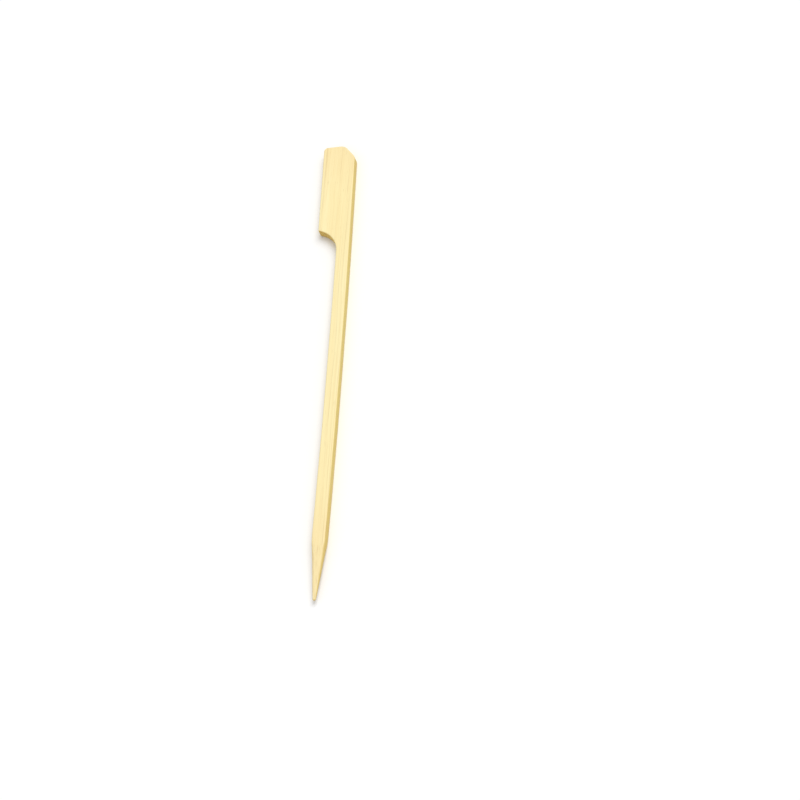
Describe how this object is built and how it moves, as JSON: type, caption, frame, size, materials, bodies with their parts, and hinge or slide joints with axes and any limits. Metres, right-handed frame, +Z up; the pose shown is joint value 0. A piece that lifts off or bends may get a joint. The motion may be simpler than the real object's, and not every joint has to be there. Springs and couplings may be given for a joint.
{
  "type": "bamboo paddle skewer",
  "caption": "Flat one-piece bamboo skewer with a wide paddle grip, a rounded shoulder on one side, a straight shaft and a ground point, for grilled or party food.",
  "frame": {"origin": "on the surface that the skewer lies on, under the centre of its bounding box", "axes": "+Y along the skewer, from the point towards the paddle's end; +X across it, towards the straight edge that the paddle and the shaft share; +Z up, out of the upper face"},
  "size_m": [0.0104, 0.15, 0.003],
  "materials": {
    "bamboo": "planed and tumbled bare bamboo, pale straw yellow, matte with a faint sheen along the fibres"
  },
  "bodies": {
    "root": {"skewer": "bamboo"}
  },
  "joints": []
}
